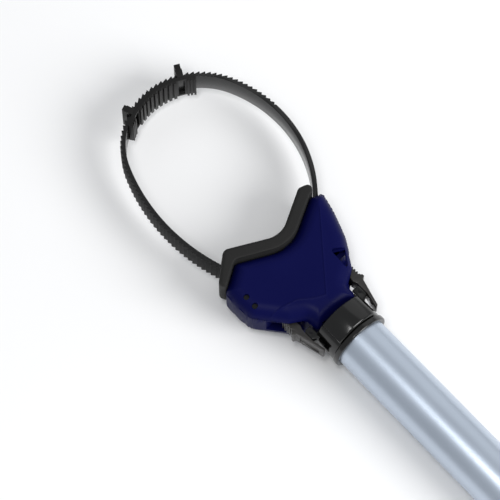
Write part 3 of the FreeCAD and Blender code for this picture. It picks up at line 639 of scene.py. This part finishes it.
class SOCK_OT_soft_pad(bpy.types.Operator):
    """Rubber pad along the V: softly rounded, its left end cut slantwise at the rear"""
    bl_idname = "sock.soft_pad"
    bl_label = "Soft pad"

    def execute(self, context):
        settings = context.scene.head_looks
        obj = merged_copy("v_pad", "soft_pad")
        in_edit(obj)
        bpy.ops.mesh.bisect(plane_co=head_point(*PAD_SLANT), plane_no=SLANT_NORMAL,
                            use_fill=True, clear_outer=True)
        out_of_edit()
        skin = obj.modifiers.new("skin", "REMESH")
        skin.mode, skin.voxel_size, skin.use_smooth_shade = "VOXEL", settings.pad_skin, True
        bpy.ops.object.modifier_apply(modifier=skin.name)
        soft = obj.modifiers.new("soft", "SMOOTH")
        soft.factor, soft.iterations = 0.5, settings.pad_passes
        bpy.ops.object.modifier_apply(modifier=soft.name)
        settle(obj, "pole_and_head", "pad_rubber", pad_rubber(), "v_pad")
        return {"FINISHED"}


# ------------------------------------------------------------ loop

LOOP_MIDDLE = (115.9, -10.0)
TOOTH_FACING = 0.15         # faces that look outwards more than this are on the toothed side
HOOK_ROUNDING = 2.5         # the slider's hooks are rounded this many times more


class SOCK_OT_toothed_strap(bpy.types.Operator):
    """Strap with softened edges, matt on its toothed side and satin inside"""
    bl_idname = "sock.toothed_strap"
    bl_label = "Toothed strap"

    def execute(self, context):
        obj = merged_copy("strap", "toothed_strap")
        round_edges(obj, context.scene.loop_looks.strap_edge, angle=25.0)
        settle(obj, "pole_and_head", "strap_plastic", strap_plastic(), "strap")
        obj.data.materials.append(tooth_plastic())
        middle = head_point(*LOOP_MIDDLE)
        for face in obj.data.polygons:
            out = face.center - middle
            out.z = 0
            face.material_index = int(face.normal.dot(out.normalized()) > TOOTH_FACING)
        return {"FINISHED"}


class SOCK_OT_slider(bpy.types.Operator):
    """Ribbed slider and its two hooks"""
    bl_idname = "sock.slider"
    bl_label = "Slider"

    def execute(self, context):
        edge = context.scene.loop_looks.edge
        for node, name, width in (("slider_pad", "ribbed_slider", edge),
                                  ("slider_clips", "slider_hooks", HOOK_ROUNDING * edge)):
            obj = merged_copy(node, name)
            round_edges(obj, width, angle=30.0, segments=3)
            settle(obj, "slider", "slider_plastic", slider_plastic(), node)
        return {"FINISHED"}


class SOCK_OT_side_levers(bpy.types.Operator):
    """Both side levers with rounded edges"""
    bl_idname = "sock.side_levers"
    bl_label = "Side levers"

    def execute(self, context):
        for side in ("left", "right"):
            obj = merged_copy(f"lever_{side}", f"side_lever_{side}")
            round_edges(obj, context.scene.loop_looks.edge)
            settle(obj, f"lever_{side}", "black_plastic", lever_plastic(), f"lever_{side}")
        return {"FINISHED"}


# ------------------------------------------------------------ pole

class SOCK_OT_collar(bpy.types.Operator):
    """Collar and its bevelled front panel"""
    bl_idname = "sock.collar"
    bl_label = "Collar"

    def execute(self, context):
        edge = context.scene.pole_looks.edge
        for node, name in (("pole_adapter", "collar"), ("adapter_panel", "collar_panel")):
            obj = merged_copy(node, name)
            round_edges(obj, edge)
            settle(obj, "pole_and_head", "gloss_black_plastic", collar_plastic(), node)
        return {"FINISHED"}


class SOCK_OT_plain_parts(bpy.types.Operator):
    """Finishes for the parts whose shape is already right"""
    bl_idname = "sock.plain_parts"
    bl_label = "Tube, handle and small parts"

    def execute(self, context):
        dress_node("pole_tube", anodised_tube())
        # The pins get near-black steel as painted shade, standing for the shade of the holes they
        # sit in.
        for node in ("pawl_pin", "stop_pin", "lever_pin_left", "lever_pin_right"):
            dress_node(node, painted_hole_shade_steel())
        dress_node("grip_sleeve", grip_rubber())
        dress_node("end_cap", lever_plastic())
        dress_node("release_tab", lever_plastic())
        for node in ("adapter_rivet", "shell_screws", "strap_anchor_pins", "pawl", "pawl_spring",
                     "lever_spring_left", "lever_spring_right"):
            dress_node(node, bright_steel())
        return {"FINISHED"}


# ------------------------------------------------------------ stage

VIEW_TARGET = (63.7, 6.8)
FLOOR_SIZE, FLOOR_MIDDLE = 12.0, 0.4
FLOOR_GAP = 0.05 * MM
KEY_RIGHT, KEY_NEAR, KEY_HIGH = 0.95, 0.42, 0.70    # the key's place, as the camera sees it
KEY_SIZE, KEY_POWER = 0.80, 12.5
OTHER_LIGHTS = (      # name, place off the target, width, height if not round, watts
    ("top_softbox", (-0.18, 0.40, 1.42), 0.22, 0.55, 6.4),
    ("fill_card", (0.29, -0.78, 0.55), 0.9, None, 0.8))


def area_light(name, place, target, size, size_y, power):
    """A disk or, with a second size, a rectangle of light that faces the target."""
    data = bpy.data.lights.new(name, "AREA")
    data.energy = power
    data.shape = "RECTANGLE" if size_y else "DISK"
    data.size = size
    if size_y:
        data.size_y = size_y
    lamp = bpy.data.objects.new(name, data)
    lamp.location = place
    lamp.rotation_mode = "QUATERNION"
    lamp.rotation_quaternion = (target - place).to_track_quat("-Z", "Y")
    bpy.context.scene.collection.objects.link(lamp)


class SOCK_OT_stage(bpy.types.Operator):
    """Pale floor, soft light and the camera"""
    bl_idname = "sock.stage"
    bl_label = "Stage"

    def execute(self, context):
        settings = context.scene.stage_looks
        bpy.ops.object.select_all(action="DESELECT")
        bpy.ops.mesh.primitive_plane_add(size=FLOOR_SIZE,
                                         location=(FLOOR_MIDDLE, 0, FLOOR - FLOOR_GAP))
        floor = context.object
        floor.name = "floor"
        floor.data.materials.append(pale_floor())

        target = head_point(*VIEW_TARGET)
        turn, rise = settings.azimuth, settings.elevation
        back = Vector((math.sin(turn) * math.cos(rise), -math.cos(turn) * math.cos(rise),
                       math.sin(rise)))
        right = Vector((math.cos(turn), math.sin(turn), 0))
        data = bpy.data.cameras.new("camera")
        data.lens = data.sensor_width * settings.distance / settings.width
        camera = bpy.data.objects.new("camera", data)
        camera.location = target + back * settings.distance
        camera.rotation_mode = "QUATERNION"
        camera.rotation_quaternion = (-back).to_track_quat("-Z", "Y")
        context.scene.collection.objects.link(camera)
        context.scene.camera = camera

        high = Vector((0, 0, 1))
        near = Vector((back.x, back.y, 0)).normalized()
        key_place = target + right * KEY_RIGHT + near * KEY_NEAR + high * KEY_HIGH
        area_light("key_softbox", key_place, target, KEY_SIZE, None, KEY_POWER)
        for name, place, size, size_y, power in OTHER_LIGHTS:
            area_light(name, target + Vector(place), target, size, size_y, power)
        world = bpy.data.worlds.new("studio")
        world.use_nodes = True
        sky = world.node_tree.nodes["Background"]
        sky.inputs["Color"].default_value = (*settings.sky, 1)
        sky.inputs["Strength"].default_value = settings.sky_level
        context.scene.world = world
        context.scene.view_settings.view_transform = "Standard"
        return {"FINISHED"}


# ------------------------------------------------------------ add-on

OPERATORS = (SOCK_OT_front_cover, SOCK_OT_rear_cover, SOCK_OT_soft_pad, SOCK_OT_toothed_strap,
             SOCK_OT_slider, SOCK_OT_side_levers, SOCK_OT_collar, SOCK_OT_plain_parts,
             SOCK_OT_stage)
SETTINGS = {"head_looks": HeadLooks, "loop_looks": LoopLooks, "pole_looks": PoleLooks,
            "stage_looks": StageLooks}


class SOCK_PT_panel(bpy.types.Panel):
    """Lists the sock aid's settings and pieces"""
    bl_idname = "SOCK_PT_panel"
    bl_label = "Sock aid"
    bl_space_type = "VIEW_3D"
    bl_region_type = "UI"
    bl_category = "Sock aid"

    def draw(self, context):
        for name, group in SETTINGS.items():
            box = self.layout.box()
            box.label(text=group.__doc__)
            for field in group.__annotations__:
                box.prop(getattr(context.scene, name), field)
        for operator in OPERATORS:
            self.layout.operator(operator.bl_idname)


CLASSES = (*SETTINGS.values(), *OPERATORS, SOCK_PT_panel)


def register():
    """Registers the classes and gives every scene the settings."""
    for item in CLASSES:
        bpy.utils.register_class(item)
    for name, group in SETTINGS.items():
        setattr(bpy.types.Scene, name, PointerProperty(type=group))


def unregister():
    """Takes away what register() gave."""
    for name in SETTINGS:
        delattr(bpy.types.Scene, name)
    for item in reversed(CLASSES):
        bpy.utils.unregister_class(item)


def main():
    register()
    for operator in OPERATORS:
        family, name = operator.bl_idname.split(".")
        getattr(getattr(bpy.ops, family), name)()


if __name__ == "__main__":
    main()
